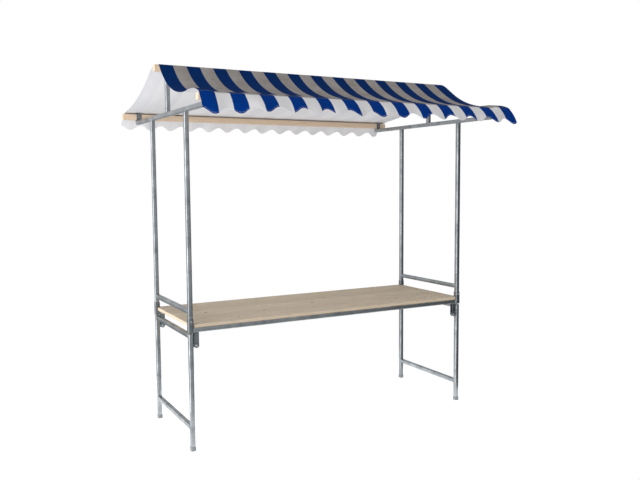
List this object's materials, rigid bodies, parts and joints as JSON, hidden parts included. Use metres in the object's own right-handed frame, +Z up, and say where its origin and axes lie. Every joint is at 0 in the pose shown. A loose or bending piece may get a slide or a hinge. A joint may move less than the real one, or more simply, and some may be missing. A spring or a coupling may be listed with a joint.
{
  "type": "market stall",
  "caption": "Open market stall: a steel tube frame with folding legs, a plank table, and a striped canvas canopy on three wooden laths.",
  "frame": {"origin": "on the ground, under the middle of the stall", "axes": "+X along the counter, +Y to the seller's side, +Z up"},
  "size_m": [2.537, 1.886, 2.6295],
  "materials": {
    "galvanised_tube": "hot-dip galvanised, satin, lightly mottled",
    "galvanised_fitting": "hot-dip galvanised, a little duller at the welds",
    "zinc_bolt": "bright zinc plated",
    "table_pine": "planed pale softwood, bare",
    "lath_pine": "planed softwood, bare, warmer than the table",
    "striped_canvas": "woven canvas in blue and off-white stripes, matt",
    "foot_plastic": "moulded dark plastic"
  },
  "bodies": {
    "stall": {"front_table_rail": "galvanised_tube", "rear_table_rail": "galvanised_tube", "table_cross_bars": "galvanised_tube", "front_left_post": "galvanised_tube", "front_right_post": "galvanised_tube", "rear_left_post": "galvanised_tube", "rear_right_post": "galvanised_tube", "left_end_rail": "galvanised_tube", "right_end_rail": "galvanised_tube", "left_roof_beam": "galvanised_tube", "right_roof_beam": "galvanised_tube", "left_king_post": "galvanised_tube", "right_king_post": "galvanised_tube", "front_left_socket": "galvanised_fitting", "front_right_socket": "galvanised_fitting", "rear_left_socket": "galvanised_fitting", "rear_right_socket": "galvanised_fitting", "left_hinge_brackets": "galvanised_fitting", "right_hinge_brackets": "galvanised_fitting", "left_lath_brackets": "galvanised_fitting", "right_lath_brackets": "galvanised_fitting", "left_pivot_bolts": "zinc_bolt", "right_pivot_bolts": "zinc_bolt", "table_board_1": "table_pine", "table_board_2": "table_pine", "table_board_3": "table_pine", "table_board_4": "table_pine", "table_board_5": "table_pine", "front_eave_lath": "lath_pine", "rear_eave_lath": "lath_pine", "ridge_lath": "lath_pine", "front_canopy": "striped_canvas", "rear_canopy": "striped_canvas", "front_valance": "striped_canvas", "rear_valance": "striped_canvas"},
    "left_leg_frame": {"front_left_leg": "galvanised_tube", "rear_left_leg": "galvanised_tube", "left_leg_top_bar": "galvanised_tube", "left_leg_low_bar": "galvanised_tube", "left_foot_caps": "foot_plastic"},
    "right_leg_frame": {"front_right_leg": "galvanised_tube", "rear_right_leg": "galvanised_tube", "right_leg_top_bar": "galvanised_tube", "right_leg_low_bar": "galvanised_tube", "right_foot_caps": "foot_plastic"}
  },
  "joints": [
    {"name": "left_leg_fold", "type": "hinge", "parent": "stall", "child": "left_leg_frame", "pos_m": [-1.098, 0, 0.724], "axis": [0, -1, 0], "range_deg": [0, 90]},
    {"name": "right_leg_fold", "type": "hinge", "parent": "stall", "child": "right_leg_frame", "pos_m": [1.098, 0, 0.724], "axis": [0, 1, 0], "range_deg": [0, 90]}
  ]
}
